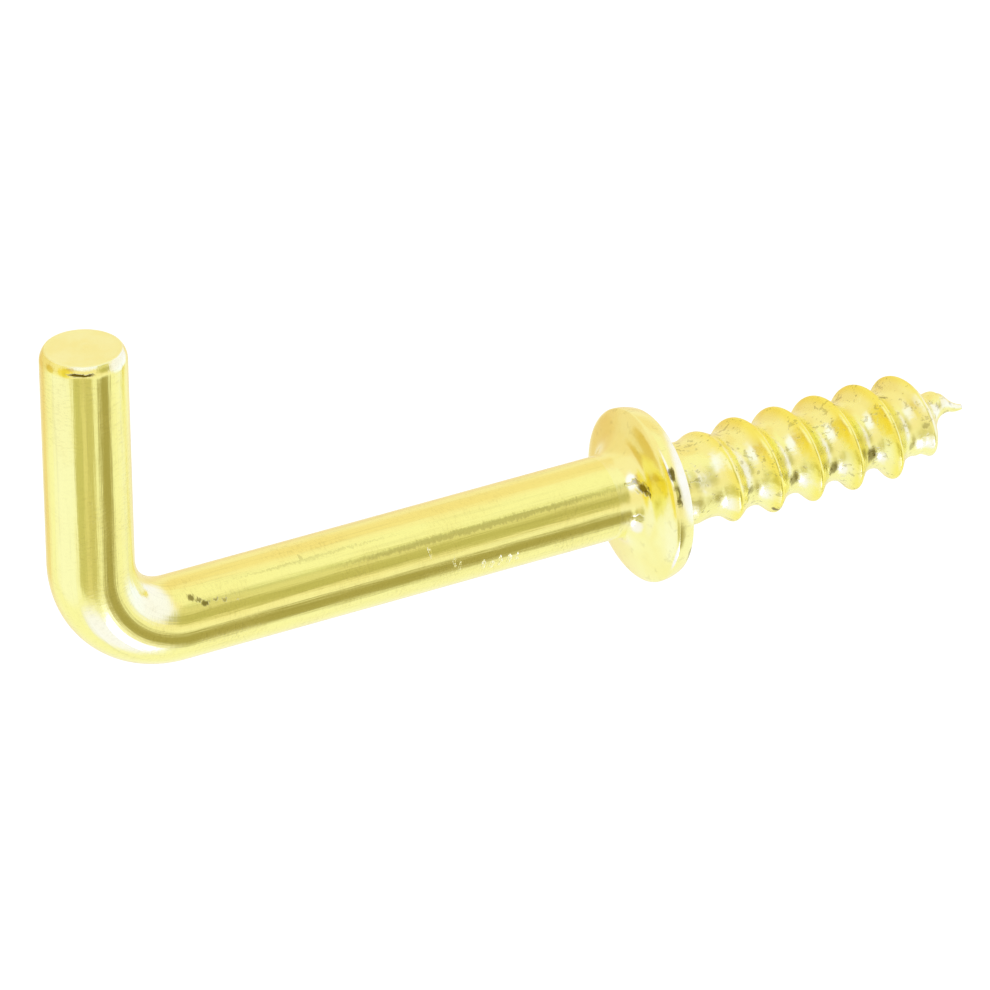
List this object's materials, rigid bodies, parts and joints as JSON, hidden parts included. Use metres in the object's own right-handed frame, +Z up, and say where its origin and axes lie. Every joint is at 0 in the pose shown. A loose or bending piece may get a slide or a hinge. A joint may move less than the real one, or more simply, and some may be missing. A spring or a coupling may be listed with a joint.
{
  "type": "square shouldered hook",
  "caption": "Square shouldered screw hook: an upright leg on a straight round shank, a domed shoulder collar and a coarse wood-screw thread, all one piece.",
  "frame": {"origin": "centre of the shoulder collar's flat back face, on the screw's axis, where the hook meets the wall", "axes": "+Y along the screw into the wall, +Z up along the upright leg, +X to the right when facing the wall"},
  "size_m": [0.0066, 0.0381, 0.0154],
  "materials": {
    "plating": "bright yellow brass plate on steel, polished, with fine drawing lines and small nicks"
  },
  "bodies": {
    "root": {"hook": "plating"}
  },
  "joints": []
}
